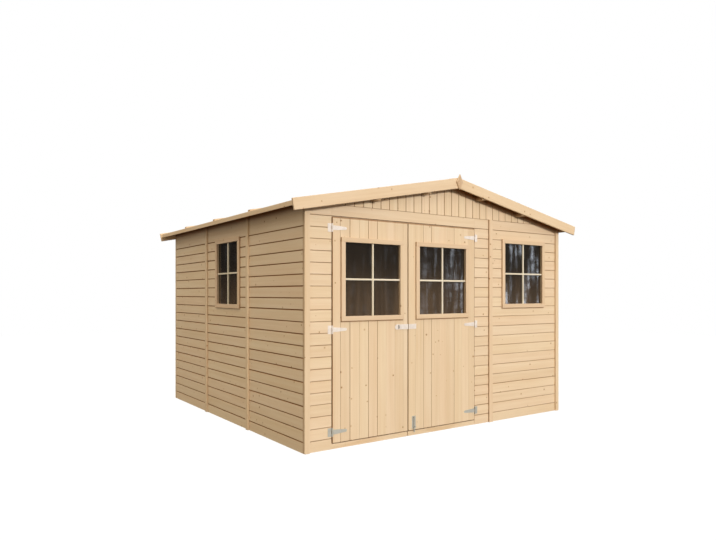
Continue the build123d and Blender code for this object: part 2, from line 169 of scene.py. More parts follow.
def plane(origin, along, across):
    """A flat place to build on: its origin, the way along a board, the way
    across the boards, and the way out of the face, which is along x across."""
    along, across = np.array(along, float), np.array(across, float)
    return np.array(origin, float), along, across, np.cross(along, across)


def reach(node, place):
    """How far a node's box goes along and across a plane: low and high of each."""
    origin, along, across, _ = place
    ends = np.array([tuple(corner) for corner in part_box(node)]) - origin
    u, v = np.sort(ends @ along), np.sort(ends @ across)
    return u[0], u[1], v[0], v[1]


def eased(corners, ease=0.0015):
    """A profile with its arrises taken off: each corner gives way to two points,
    one ease back along each of its two edges."""
    corners = np.array(corners, float)
    to_last = np.roll(corners, 1, axis=0) - corners
    to_next = np.roll(corners, -1, axis=0) - corners
    to_last /= np.linalg.norm(to_last, axis=1, keepdims=True)
    to_next /= np.linalg.norm(to_next, axis=1, keepdims=True)
    return np.stack([corners + ease * to_last, corners + ease * to_next], 1).reshape(-1, 2)


def rectangle(v0, v1, d0, d1, ease=0.0015):
    """A sawn section with its arrises taken off."""
    return eased([(v0, d0), (v1, d0), (v1, d1), (v0, d1)], ease)


def new_board():
    """A board's colour and where its grain starts, drawn in this order."""
    return luck.random(), luck.uniform(-9, 9, 3) * (1, 1, 0.004)


def length(place, profile, start, end, ease=0.0012, tone=None, shift=None, shade=None,
           end_shade=0.3):
    """One length of timber. The closed profile, points (v, d), is carried along u in four rings: two at
    each end, the outer one drawn in by the ease so the end has an arris too. An end (a, b, c) is the saw
    cut u = a + b v + c d; its end grain and arris are darker by end_shade, partly the end grain's own
    colour and partly painted shade, as in the dark line at the heads of the leaves."""
    profile = np.array(profile, float)
    shade = np.zeros(len(profile)) if shade is None else np.array(shade, float)
    keep = np.linalg.norm(profile - np.roll(profile, 1, axis=0), axis=1) > 1e-6
    profile, shade = profile[keep], shade[keep]
    v, d = profile.T
    if np.sum(v * np.roll(d, -1) - np.roll(v, -1) * d) < 0:
        profile, shade = profile[::-1], shade[::-1]
    middle = (profile.min(0) + profile.max(0)) / 2
    away = profile - middle
    drawn = middle + np.sign(away) * np.maximum(np.abs(away) - ease, 0)
    rings = np.stack([drawn, profile, profile, drawn])
    cut = np.array([np.resize(list(np.atleast_1d(c)) + [0, 0], 3) for c in (start, end)])
    cut = np.repeat(cut, 2, axis=0)
    u = cut[:, :1] + cut[:, 1:2] * rings[:, :, 0] + cut[:, 2:] * rings[:, :, 1]
    u += ease * np.array([0, 1, -1, 0])[:, None]
    u[2:] = np.maximum(u[2:], u[1] + 0.0002)
    u[3] = np.maximum(u[3], u[2])
    origin, along, across, out = place
    local = np.stack([u, rings[:, :, 0], rings[:, :, 1]], axis=-1)
    points = origin + local @ np.stack([along, across, out])
    count = len(profile)
    here = np.arange(count)
    there = np.roll(here, -1)
    base = count * np.arange(3)[:, None]
    sides = np.stack([base + here, base + there, base + count + there, base + count + here], -1)
    shift = luck.uniform(-9, 9, 3) * (1, 1, 0.004) if shift is None else shift
    return {"points": points.reshape(-1, 3), "sides": sides.reshape(-1, 4),
            "caps": [here[::-1], here + 3 * count],
            "grain": local.reshape(-1, 3) - (0, *middle) + shift,
            "tone": np.full(4 * count, luck.random() if tone is None else tone),
            # The end rings carry end_shade: end grain colour and painted shade together.
            "shade": np.concatenate([np.maximum(shade, end_shade), shade, shade,
                                     np.maximum(shade, end_shade)])}


def mirrored(part, axis):
    """The same length on the other side: one coordinate's sign is turned, and
    so is the order of each face. Its grain is moved, so no board is repeated."""
    points = part["points"] * np.where(np.arange(3) == axis, -1, 1)
    return {**part, "points": points, "sides": part["sides"][:, ::-1],
            "caps": [cap[::-1] for cap in part["caps"]],
            "grain": part["grain"] + (luck.uniform(3, 8), luck.uniform(3, 8), 0),
            "tone": np.full(len(points), luck.random())}


def piece(name, parts, finish, body, slot, *stands_for):
    """Joins the parts in one mesh, keeps each point's place in its own board as the attribute grain, each
    board's colour as tone and the painted shade in its grooves, cuts and ends as shade."""
    starts = np.cumsum([0] + [len(part["points"]) for part in parts])
    faces = []
    for part, first in zip(parts, starts):
        faces += (part["sides"] + first).tolist()
        faces += [(cap + first).tolist() for cap in part["caps"]]
    mesh = bpy.data.meshes.new(name)
    mesh.from_pydata(np.concatenate([p["points"] for p in parts]).tolist(), [], faces)
    grain = mesh.attributes.new("grain", "FLOAT_VECTOR", "POINT")
    grain.data.foreach_set("vector", np.concatenate([p["grain"] for p in parts]).ravel())
    for key in ("tone", "shade"):
        layer = mesh.attributes.new(key, "FLOAT", "POINT")
        layer.data.foreach_set("value", np.concatenate([p[key] for p in parts]))
    mesh.materials.append(finish)
    made = bpy.data.objects.new(name, mesh)
    bpy.context.scene.collection.objects.link(made)
    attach(made, body)
    if stands_for:
        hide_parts(*stands_for)
    return made


def board_profile(low, high, edges, thick, vees, back_vee, lean, dirt_and_shade=1.0, face_shade=0.0):
    """Section of one tongued board: a rounded V on the face at each edge, whose two sizes are the vees, a
    narrow slot below it, and a lap behind the next board. It is cut to the panel's edges, which lean by v
    = edge + lean x d. Returns points and shade: the face's own painted shade on the face, painted shade
    with some dirt in the V and the slot, and the same on cut sides below the V. A joint shallower than
    full_vee is tighter, and its painted shade lighter, by the same share."""
    full_vee, open_gap, slot, lap = 0.0024, 0.0008, 0.0082, 0.006
    first, last = vees
    share_low, share_high = min(1, first / full_vee), min(1, last / full_vee)
    gap_low, gap_high = open_gap * share_low, open_gap * share_high
    v = np.array([low + lap + back_vee, high + lap - gap_high - back_vee, high + lap - gap_high,
                  high + lap - gap_high, high - gap_high, high - gap_high,
                  high - gap_high - 0.293 * last, high - gap_high - last,
                  low + gap_low + first, low + gap_low + 0.293 * first, low + gap_low, low + gap_low,
                  low + lap, low + lap])
    d = np.array([-thick, -thick, -thick + back_vee, -slot - 0.0003,
                  -slot - 0.0003, -last, -0.293 * last, 0,
                  0, -0.293 * first, -first, -slot, -slot, -thick + back_vee])
    # Painted shade, with some dirt, deepest in the V and the slot, where the joint lies in shade.
    shade = dirt_and_shade * np.array([0, 0, 1, 1, 1, 1, 0.7, 0, 0, 0.7, 1, 1, 1, 1.0])
    shade[4:7] *= share_high
    shade[9:12] *= share_low
    shade[7:9] = face_shade
    inside = np.clip(v, edges[0] + lean * d, edges[1] + lean * d)
    # Sides cut off at the panel's edges take painted shade below the V, as in the dark gaps between the
    # leaves.
    shade = np.where(np.abs(inside - v) > 1e-9, np.where(d < -full_vee, dirt_and_shade, face_shade), shade)
    return np.column_stack([inside, d]), shade


def boarding(place, joints, panel, hole=None, thick=0.016, vee=0.0045, back_vee=0.0006, lean=0.0,
             dirt_and_shade=0.8, open_share=None, face_shade=0.0, ease=0.0006, end_shade=0.85):
    """A panel (u0, u1, v0, v1) of boards that meet at the joints, whose V is
    the joint's open share of vee. A board that meets the window's hole is cut
    in lengths before, beside and past it."""
    u0, u1, v0, v1 = panel
    parts = []
    open_share = luck.uniform(0.8, 1.0, len(joints)) if open_share is None else open_share
    vees = vee * np.array(open_share)
    for low, high, first, last in zip(joints[:-1], joints[1:], vees[:-1], vees[1:]):
        if high <= v0 or low >= v1:
            continue
        tone, shift = new_board()
        sink = np.array([0, 0, luck.uniform(-0.0004, 0)])
        # Each board's share of the painted shade in its joints.
        dim = dirt_and_shade * luck.uniform(0.55, 1.0)
        pieces = [(u0, u1, v0, v1)]
        if hole and high > hole[2] and low < hole[3]:
            pieces = [(u0, hole[0], v0, v1), (hole[1], u1, v0, v1)]
            if low < hole[2]:
                pieces.append((hole[0], hole[1], v0, hole[2]))
            if high > hole[3]:
                pieces.append((hole[0], hole[1], hole[3], v1))
        for a, b, edge0, edge1 in pieces:
            profile, shade = board_profile(low, high, (edge0, edge1), thick, (first, last), back_vee, lean,
                                           dim, face_shade)
            parts.append(length(place, profile + sink[1:], a, b, tone=tone, shade=shade,
                                shift=shift + (0, (low + high) / 2, 0), ease=ease, end_shade=end_shade))
    return parts


def pine(name, base=(0.84, 0.67, 0.483), axis=None, knots=0.30, rough=0.55, gloss=0.22,
         roof=None, shadow_lines=()):
    """Planed spruce. Rings are a wave round the board's own length, bent by a slow noise; fibres and
    streaks are noises drawn out along it; knots are the seeds of a cell pattern. Reads the attribute
    grain, or the object's own coordinates with the given axis taken as the length. The attribute shade is
    multiplied in as painted shade. With a roof, given as its height over the ridge line and its fall, wood
    close under it gets painted shade where the eaves and barge boards shade it. Painted shadow also lies
    along the shadow lines (middle x, half length, z, half height)."""
    finish = bpy.data.materials.new(name)
    finish.use_nodes = True
    tree = finish.node_tree
    tree.nodes.clear()
    if axis is None:
        place = add_node(tree, "Attribute", attribute_name="grain").outputs["Vector"]
        tone = add_node(tree, "Attribute", attribute_name="tone").outputs["Fac"]
        shade = add_node(tree, "Attribute", attribute_name="shade").outputs["Fac"]
    else:
        shade = 0.0
        xyz = add_node(tree, "SeparateXYZ", {0: add_node(tree, "TexCoord").outputs["Object"]}).outputs
        order = {"X": (0, 1, 2), "Y": (1, 0, 2), "Z": (2, 0, 1)}[axis]
        place = add_node(tree, "CombineXYZ", {i: xyz[k] for i, k in enumerate(order)}).outputs[0]
        slow = add_node(tree, "TexNoise", {"Vector": place, "Scale": 0.9, "Detail": 0.0}).outputs[0]
        tone = spread(tree, slow, 0.3, 0.7)

    def drawn_out(scale, detail, rough=0.5):
        moved = add_node(tree, "Mapping", {"Vector": place, "Scale": scale}).outputs[0]
        return add_node(tree, "TexNoise", {"Vector": moved, "Scale": 1.0, "Detail": detail,
                                           "Roughness": rough}).outputs

    bend = add_node(tree, "VectorMath", {0: drawn_out((0.9, 5, 5), 2.0)["Color"], 1: (0.5, 0.5, 0.5)},
                    operation="SUBTRACT").outputs[0]
    bent = add_node(tree, "VectorMath", {0: bend, 1: (0.0, 0.030, 0.030), 2: place},
                    operation="MULTIPLY_ADD").outputs[0]
    off_heart = add_node(tree, "Mapping", {"Vector": bent, "Location": (0, 0.02, 0.055)}).outputs[0]
    rings = add_node(tree, "TexWave", {"Vector": off_heart, "Scale": 46.0, "Distortion": 0.8,
                                       "Detail": 2.0, "Detail Scale": 1.5},
                     wave_type="RINGS", rings_direction="X").outputs["Fac"]
    late_wood = spread(tree, rings, 0.45, 0.98)
    fibre = spread(tree, drawn_out((5, 520, 520), 2.0)["Fac"], 0.30, 0.70)
    streak = spread(tree, drawn_out((0.8, 34, 34), 3.0)["Fac"], 0.35, 0.68)
    patch = spread(tree, drawn_out((1.6, 7, 7), 1.0)["Fac"], 0.35, 0.65)

    cells = add_node(tree, "Mapping", {"Vector": place, "Scale": (8.6, 8.6, 8.6)}).outputs[0]
    seeds = add_node(tree, "TexVoronoi", {"Vector": cells, "Scale": 1.0}, voronoi_dimensions="2D").outputs
    chance = add_node(tree, "SeparateColor", {0: seeds["Color"]}).outputs
    is_knot = calc(tree, "LESS_THAN", chance[0], knots)
    size = spread(tree, chance[1], 0, 1, 0.020, 0.058, smooth=False)
    from_heart = calc(tree, "DIVIDE", seeds["Distance"], size)
    wobble = calc(tree, "MULTIPLY_ADD", fibre, 0.25, from_heart)
    knot = calc(tree, "MULTIPLY", spread(tree, wobble, 0.85, 1.2, 1.0, 0.0), is_knot)
    rim = calc(tree, "MULTIPLY", spread(tree, calc(tree, "ABSOLUTE", calc(tree, "SUBTRACT", wobble, 1.0)),
                                        0.08, 0.30, 1.0, 0.0), is_knot)
    halo = calc(tree, "MULTIPLY", spread(tree, from_heart, 1.0, 3.0, 1.0, 0.0), is_knot)

    tints = add_node(tree, "ValToRGB", {0: tone})
    ramp = tints.color_ramp
    shades = [(0.0, (0.965, 0.945, 0.91)), (0.3, (1.0, 0.995, 0.985)), (0.55, (1.0, 0.97, 0.95)),
              (0.8, (1.015, 1.015, 0.985)), (1.0, (0.975, 0.96, 0.92))]
    while len(ramp.elements) < len(shades):
        ramp.elements.new(0.5)
    for stop, (where, tint) in zip(ramp.elements, shades):
        stop.position = where
        stop.color = (*(c * k for c, k in zip(tint, base)), 1)
    wood = tints.outputs[0]
    for mark, strength, colour in ((patch, 0.30, (0.93, 0.87, 0.80, 1)),
                                   (late_wood, 0.34, (0.82, 0.70, 0.54, 1)),
                                   (streak, 0.32, (0.88, 0.80, 0.68, 1)),
                                   (fibre, 0.18, (0.80, 0.74, 0.64, 1)),
                                   (halo, 0.30, (0.84, 0.68, 0.50, 1))):
        wood = mix_colour(tree, calc(tree, "MULTIPLY", mark, strength), wood, colour, "MULTIPLY")
    ripeness = spread(tree, chance[2], 0.0, 1.0, 0.35, 1.0)
    wood = mix_colour(tree, calc(tree, "MULTIPLY", knot, ripeness), wood, (0.40, 0.20, 0.085, 1))
    wood = mix_colour(tree, calc(tree, "MULTIPLY", rim, calc(tree, "MULTIPLY", ripeness, 0.75)), wood,
                      (0.20, 0.09, 0.035, 1))
    if roof is not None or shadow_lines:
        spot = add_node(tree, "SeparateXYZ", {0: add_node(tree, "TexCoord").outputs["Object"]}).outputs
    # Painted shade on wood close under the roof: full to 34 mm below it and gone at 88 mm, starting 22 mm
    # higher on the left side.
    if roof is not None:
        lowered = calc(tree, "MULTIPLY_ADD", calc(tree, "ABSOLUTE", spot[0]), -roof[1],
                       spread(tree, spot[0], -0.2, 0.2, roof[0] + 0.022, roof[0]))
        below = calc(tree, "SUBTRACT", lowered, spot[2])
        shade = calc(tree, "MAXIMUM", shade, spread(tree, below, 0.034, 0.088, 1.0, 0.0))
    # Painted shadow along each shadow line: under casings and at the heads of the leaves.
    for middle, half, level, thick in shadow_lines:
        beside = calc(tree, "COMPARE", spot[0], middle, half)
        line = calc(tree, "MULTIPLY", beside, calc(tree, "COMPARE", spot[2], level, thick))
        shade = calc(tree, "MAXIMUM", shade, calc(tree, "MULTIPLY", line, 0.72))
    # The painted shade's dark brown, multiplied into the wood.
    wood = mix_colour(tree, shade, wood, (0.38, 0.205, 0.085, 1), "MULTIPLY")
    height = calc(tree, "MULTIPLY_ADD", fibre, 0.5, calc(tree, "MULTIPLY", late_wood, 0.4))
    height = calc(tree, "MULTIPLY_ADD", knot, 0.5, height)
    bump = add_node(tree, "Bump", {"Height": height, "Strength": 0.35, "Distance": 0.0006}).outputs[0]
    dullness = calc(tree, "MULTIPLY_ADD", streak, 0.12, rough)
    surface = add_node(tree, "BsdfPrincipled", {"Base Color": wood, "Roughness": dullness, "Normal": bump,
                                                "Specular IOR Level": gloss}).outputs[0]
    add_node(tree, "OutputMaterial", {"Surface": surface})
    return finish


def finish_node(name, finish):
    """Gives a node that keeps its own shape a better material."""
    mesh = cad_nodes[name].data
    mesh.materials.clear()
    mesh.materials.append(finish)


framing_x = pine("frame_wood_x", (0.76, 0.59, 0.41), "X")
framing_y = pine("frame_wood_y", (0.76, 0.59, 0.41), "Y")
framing_z = pine("frame_wood_z", (0.76, 0.59, 0.41), "Z")
floor_wood = pine("floor_wood", (0.76, 0.59, 0.41))
finish_node("floor_bearers", framing_x)
deck_low, deck_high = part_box("floor_deck")
on_deck = plane((0, 0, deck_high.z), (0, 1, 0), (-1, 0, 0))
deck_area = reach("floor_deck", on_deck)
deck_joints = np.arange(deck_area[2], deck_area[3] + floor_board, floor_board)
piece("floor_boards", boarding(on_deck, deck_joints, deck_area, thick=deck_high.z - deck_low.z,
                               vee=floor_vee), floor_wood, "shed", "frame_wood", "floor_deck")

# Frame of the walls. Square planed softwood, 45 by 45, screwed together in
# panels: rails on the ground, posts, studs behind the joints, and top plates.
# The sill under the doors is a planed board of lighter wood.
for part in ("gable_bottom_rails", "gable_top_plates", "door_lintel"):
    finish_node(part, framing_x)
finish_node("door_sill", pine("sill_wood", (0.845, 0.67, 0.475), "X"))
for part in ("side_bottom_rails", "side_top_plates"):
    finish_node(part, framing_y)
for part in ("corner_posts", "wall_studs", "door_posts"):
    finish_node(part, framing_z)

# Wall boards. Tongued spruce with a V joint every 91 mm, nailed level on the
# frame in panels. The courses run at one height round all four walls, and each
# side wall ends in a wider board under the eave.
course = 0.091
first_course = 0.083
head_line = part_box("front_gable")[0].z
pitch = math.radians(11.1)
eave_x = -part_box("eave_boards")[0].x
roof_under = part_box("roof_left_panels")[0]
eave_z = roof_under.z - (eave_x + roof_under.x) * math.tan(pitch)
roof_line = (eave_z + eave_x * math.tan(pitch), math.tan(pitch))
# The wall wood is darkened close under the roof with painted shade, where the eaves and barge boards shade
# it.
wall_wood = pine("wall_wood", roof=roof_line)


def casing_foot_shadow(node):
    """The painted shadow line on the boards along the foot of a casing."""
    low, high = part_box(node)
    return (low.x + high.x) / 2, (high.x - low.x) / 2, low.z, 0.0085


# The boards round the front window carry a painted shadow line under its casing.
window_wall_wood = pine("window_wall_wood", roof=roof_line, shadow_lines=[casing_foot_shadow("front_window_frame")])
shed_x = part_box("front_wall_window")[1].x
shed_y = -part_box("front_wall_window")[0].y
seam_x = (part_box("front_wall_right")[1].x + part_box("front_wall_window")[0].x) / 2
seam_y = (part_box("left_wall_front")[1].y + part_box("left_wall_window")[0].y) / 2
panel_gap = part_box("front_wall_window")[0].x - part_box("front_wall_right")[1].x
front_face = plane((0, -shed_y, 0), (1, 0, 0), (0, 0, 1))
back_face = plane((0, shed_y, 0), (-1, 0, 0), (0, 0, 1))
left_face = plane((-shed_x, 0, 0), (0, -1, 0), (0, 0, 1))
right_face = plane((shed_x, 0, 0), (0, 1, 0), (0, 0, 1))
courses = np.append(first_course + course * np.arange(-1, 20), head_line)
casing_over_hole = 0.0275


def hole_for(frame_node, place):
    """The hole behind a window's casing, on the wall's own plane."""
    u0, u1, v0, v1 = reach(frame_node, place)
    return (u0 + casing_over_hole, u1 - casing_over_hole,
            v0 + casing_over_hole, v1 - casing_over_hole)


for part in ("front_wall_left", "front_wall_right", "front_wall_header"):
    piece(part + "_boards", boarding(front_face, courses, reach(part, front_face), end_shade=0.1),
          wall_wood, "shed", "wall_wood", part)
piece("front_wall_window_boards",
      boarding(front_face, courses, reach("front_wall_window", front_face),
               hole_for("front_window_frame", front_face), end_shade=0.1),
      window_wall_wood, "shed", "wall_wood", "front_wall_window")

back_parts = []
back_u = [-shed_x, -seam_x, seam_x, shed_x]
for left, right in zip(back_u[:-1], back_u[1:]):
    u0 = left + (panel_gap / 2 if left > -shed_x else 0)
    u1 = right - (panel_gap / 2 if right < shed_x else 0)
    back_parts += boarding(back_face, courses, (u0, u1, 0, head_line), end_shade=0.1)
piece("back_wall_boards", back_parts, wall_wood, "shed", "wall_wood", "back_wall_panels")

side_top = eave_z + (eave_x - shed_x) * math.tan(pitch)
side_courses = np.append(courses[:-2], head_line + course)
for side, face in (("left", left_face), ("right", right_face)):
    for part in ("front", "window", "rear"):
        node = f"{side}_wall_{part}"
        u0, u1, v0, _ = reach(node, face)
        hole = hole_for(f"{side}_window_frame", face) if part == "window" else None
        piece(node + "_boards",
              boarding(face, side_courses, (u0, u1, v0, side_top), hole, vee=0.0064, dirt_and_shade=1.8,
                       lean=-math.tan(pitch)),
              wall_wood, "shed", "wall_wood", node)

# Gables. The same boards set upright over the head line, sawn to the slope of
# the roof and notched round the ridge beam and the purlins that rest in them.
upright_course = 0.088
upright_first = 0.098
gable_thick = 0.016
gable_vees = (0.0040, 0.0040)
gable_back_vee = 0.0006
notch_half = 0.0235
sliver = 0.004
purlin_places = (0.330, 0.870)
purlin_deep, ridge_deep = 0.070, 0.060


def under_roof(x):
    """Height of the roof boards' underside over a place across the shed."""
    return eave_z + (eave_x - abs(x)) * math.tan(pitch)


# The gable boards' wood is a lighter copy of the wall wood, painted light that makes up for the shade
# under the barge boards, and is darkened close under the roof with painted shade.
gable_wood = pine("gable_wood", (0.875, 0.70, 0.50), roof=roof_line)
gable_reach = eave_x - (head_line - eave_z) / math.tan(pitch)
notches = [(x - notch_half, x + notch_half, under_roof(x) - purlin_deep)
           for s in (-1, 1) for x in (s * np.array(purlin_places)).tolist()]
notches.append((-notch_half, notch_half, under_roof(0) - ridge_deep))
for node, y, turn in (("front_gable", -shed_y, -1), ("back_gable", shed_y, 1)):
    face = plane((0, y, 0), (0, 0, 1), (turn, 0, 0))
    joints = np.sort(turn * (upright_first + upright_course * np.arange(-19, 17)))
    kinks = np.array([0.0] + [turn * edge for notch in notches for edge in notch[:2]])
    gable_parts = []
    for low, high in zip(joints[:-1], joints[1:]):
        low_cut, high_cut = max(low, -gable_reach), min(high, gable_reach)
        if high_cut - low_cut < sliver:
            continue
        tone, shift = new_board()
        breaks = [low_cut] + sorted(k for k in kinks if low_cut < k < high_cut) + [high_cut]
        for a, b in zip(breaks[:-1], breaks[1:]):
            middle = (a + b) / 2 * turn
            foot = [n[2] for n in notches if n[0] < middle < n[1]]
            rise = -math.tan(pitch) * np.sign((a + b) / 2)
            top = (foot[0], 0, 0) if foot else (under_roof(0), rise, 0)
            edge_a = a if a > low_cut or low_cut > low else low - 1
            edge_b = b if b < high_cut or high_cut < high else high + 1
            profile, shade = board_profile(low, high, (edge_a, edge_b), gable_thick, gable_vees,
                                           gable_back_vee, 0)
            gable_parts.append(length(face, profile, head_line, top, tone=tone, shade=shade,
                                      shift=shift + (0, (low + high) / 2, 0), ease=0.0008))
    piece(node + "_boards", gable_parts, gable_wood, "shed", "wall_wood", node)

# Roof timbers. A ridge beam and four purlins run from barge board to barge
# board, let into the gables, and carry the roof boards.
# The purlins' wood is a darker copy of the frame wood, painted shade for their place under the roof, and
# is darkened further close under the roof with painted shade.
purlin_wood = pine("purlin_wood", (0.58, 0.42, 0.26), "Y", roof=roof_line)
for part in ("ridge_beam", "roof_purlins"):
    finish_node(part, purlin_wood)

# Roof boards. Four panels a side of tongued boards laid along the eave, the V joints on the underside
# where they show, a finer joint on top. The underside is darkened with painted shade.
roof_thick = 0.018
roof_board = 0.091
roof_wood = pine("roof_wood", (0.78, 0.60, 0.41), rough=0.75, gloss=0.10)
deck_edge_x = -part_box("roof_left_panels")[0].x
roof_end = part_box("roof_left_panels")[1].y
roof_panels = 4
panel_step = 2 * roof_end / roof_panels
cos_p, sin_p, tan_p = math.cos(pitch), math.sin(pitch), math.tan(pitch)
slope_long = deck_edge_x / cos_p
left_soffit = plane((-deck_edge_x, 0, under_roof(deck_edge_x)), (0, 1, 0), (cos_p, 0, sin_p))
roof_joints = np.append(np.arange(-0.03, slope_long - 0.03, roof_board), slope_long + 0.06)
left_parts = []
for i in range(roof_panels):
    start = -roof_end + i * panel_step + (panel_gap / 2 if i else 0)
    end = -roof_end + (i + 1) * panel_step - (panel_gap / 2 if i < roof_panels - 1 else 0)
    left_parts += boarding(left_soffit, roof_joints, (start, end, 0, slope_long), thick=roof_thick,
                           vee=0.004, back_vee=0.002, lean=-tan_p, face_shade=0.85)
piece("roof_left_boards", left_parts, roof_wood, "shed", "roof_wood", "roof_left_panels")
piece("roof_right_boards", [mirrored(p, 0) for p in left_parts], roof_wood, "shed", "roof_wood",
      "roof_right_panels")

# Eave boards. A narrow planed board closes the roof boards' edge on each side.
# It is nailed upright and its ends stop behind the barge boards.
eave_tall = 0.038
across_shed = plane((0, 0, 0), (0, 1, 0), (0, 0, 1))
trim_wood = pine("trim_wood", (0.82, 0.645, 0.455), knots=0.5, rough=0.65)
roof_rise = roof_thick / cos_p
eave_profile = eased([(under_roof(eave_x) + roof_rise - eave_tall, -eave_x),
                      (under_roof(deck_edge_x) + roof_rise - eave_tall, -deck_edge_x),
                      (under_roof(deck_edge_x) + roof_rise, -deck_edge_x),
                      (under_roof(eave_x) + roof_rise, -eave_x)], 0.002)
eave_left = length(across_shed, eave_profile, -roof_end, roof_end)
piece("eave_edge_boards", [eave_left, mirrored(eave_left, 0)], trim_wood, "shed", "trim_wood",
      "eave_boards")

# Battens and ridge boards. Flat battens cover the joints between the roof's
# panels, and two boards, bevelled to meet, cover the ridge.
batten_wide, batten_thick, batten_short = 0.045, 0.016, 0.010
cap_wide, cap_thick, cap_gap = 0.100, 0.016, 0.0004
left_top = plane((-eave_x, 0, under_roof(eave_x)), (cos_p, 0, sin_p), (0, 1, 0))
batten_parts = []
for i in range(1, roof_panels):
    y = -roof_end + i * panel_step
    profile = rectangle(y - batten_wide / 2, y + batten_wide / 2, roof_thick,
                        roof_thick + batten_thick * cos_p, 0.002)
    batten = length(left_top, profile, (batten_short / cos_p, 0, tan_p),
                    ((eave_x - cap_wide) / cos_p, 0, tan_p))
    batten_parts += [batten, mirrored(batten, 0)]
piece("roof_cover_battens", batten_parts, roof_wood, "shed", "roof_wood", "roof_battens")
cap_foot = under_roof(cap_wide) + roof_rise
cap_ridge = under_roof(0) + roof_rise
cap_profile = eased([(cap_foot, -cap_wide), (cap_ridge, -cap_gap), (cap_ridge + cap_thick, -cap_gap),
                     (cap_foot + cap_thick, -cap_wide)])
cap_left = length(across_shed, cap_profile, -roof_end, roof_end)
piece("ridge_cover_boards", [cap_left, mirrored(cap_left, 0)], roof_wood, "shed", "roof_wood",
      "ridge_cap")

# Corner trims and cover strips. Planed battens, nailed upright over the corner
# joints and over the joints between the wall panels.
trim_wide, trim_thick, trim_round = 0.046, 0.016, 0.0025
# Painted shade on the side faces of strips and casings, darkest next to the wall.
crease_shade = np.repeat([0.8, 0.0], 4)
# Corner trims and cover strips are darkened close under the roof with painted shade.
corner_wood = pine("corner_wood", (0.82, 0.645, 0.455), roof=roof_line)
front_trim = length(plane((-shed_x, -shed_y, 0), (0, 0, 1), (-1, 0, 0)),
                    rectangle(-trim_wide, 0, 0, trim_thick, trim_round), 0, side_top)
corner_parts = [front_trim, mirrored(front_trim, 0), mirrored(front_trim, 1),
                mirrored(mirrored(front_trim, 0), 1)]
piece("corner_trim_boards", corner_parts, corner_wood, "shed", "trim_wood", "corner_trims")
front_strip = length(plane((seam_x, -shed_y, 0), (0, 0, 1), (-1, 0, 0)),
                     rectangle(-trim_wide / 2, trim_wide / 2, 0, trim_thick, trim_round), 0, head_line,
                     shade=crease_shade)
strip_parts = [front_strip, mirrored(front_strip, 1), mirrored(mirrored(front_strip, 1), 0)]
for y in (-seam_y, seam_y):
    strip = length(plane((-shed_x, y, 0), (0, 0, 1), (0, 1, 0)),
                   rectangle(-trim_wide / 2, trim_wide / 2, 0, trim_thick, trim_round),
                   0, (side_top, 0, -tan_p))
    strip_parts += [strip, mirrored(strip, 0)]
piece("cover_strip_boards", strip_parts, corner_wood, "shed", "trim_wood", "wall_cover_strips")

# Barge boards and finials. One planed board up each slope in front of the roof's
# ends, square at the foot and upright at the peak, with a diamond over the joint.
barge_wide, barge_thick, barge_round = 0.090, 0.018, 0.003
barge_foot_x = 1.647
_, barge_front, barge_foot_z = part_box("front_barge_boards")[0]
peak_gap = 0.0005
barge_face = plane((-barge_foot_x, barge_front, barge_foot_z), (cos_p, 0, sin_p), (-sin_p, 0, cos_p))
barge = length(barge_face, rectangle(0, barge_wide, -barge_thick, 0, barge_round), 0,
               ((barge_foot_x - peak_gap) / cos_p, tan_p, 0), ease=0.002)
for node, parts in (("front_barge_boards", [barge, mirrored(barge, 0)]),
                    ("back_barge_boards", [mirrored(barge, 1), mirrored(mirrored(barge, 1), 0)])):
    piece(node.replace("_boards", "_planks"), parts, trim_wood, "shed", "trim_wood", node)

finial_low, finial_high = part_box("gable_finials")
finial_mid = (finial_low.z + finial_high.z) / 2
finial_corners = [(finial_low.z, 0), (finial_mid, finial_high.x), (finial_high.z, 0),
                  (finial_mid, finial_low.x)]
finial_round = 0.004
finial = length(across_shed, eased(finial_corners, finial_round), finial_low.y, barge_front,
                ease=finial_round)
finial["grain"] = finial["grain"][:, [1, 2, 0]]
piece("finial_diamonds", [finial, mirrored(finial, 1)], trim_wood, "shed", "trim_wood", "gable_finials")

# Windows. A planed casing is nailed round the hole, a thin lining goes through
# the wall, and a cross of white-painted bars lies on one pane held by beads.
casing_wide, casing_thick = 0.038, 0.016
casing_round = 0.0022
# Casings carry a lighter share of that painted shade on their sides.
casing_crease_shade = crease_shade * 0.6
lining_thick, lining_deep = 0.010, 0.034
bead_deep, bead_slope, bead_lip = 0.010, 0.002, 0.006
glass_front, glass_back, glass_bite = 0.008, 0.012, 0.006
bar_wide, bar_front, bar_step, bar_nose = 0.0155, 0.003, 0.002, 0.62
inner_ease = 0.0002
casing_wood = pine("casing_wood", (0.785, 0.602, 0.426), knots=0.10)
lining_wood = pine("lining_wood", (0.80, 0.62, 0.43), knots=0.08)
bar_wood = pine("bar_wood", (0.90, 0.83, 0.70), knots=0.0)


def on_turned(place, profile, start, end, **kept):
    """A length that stands across the plane's own along: the plane turned a
    quarter, so that a profile's v is measured against along."""
    origin, along, across, _ = place
    return length(plane(origin, across, -along), profile, start, end, **kept)


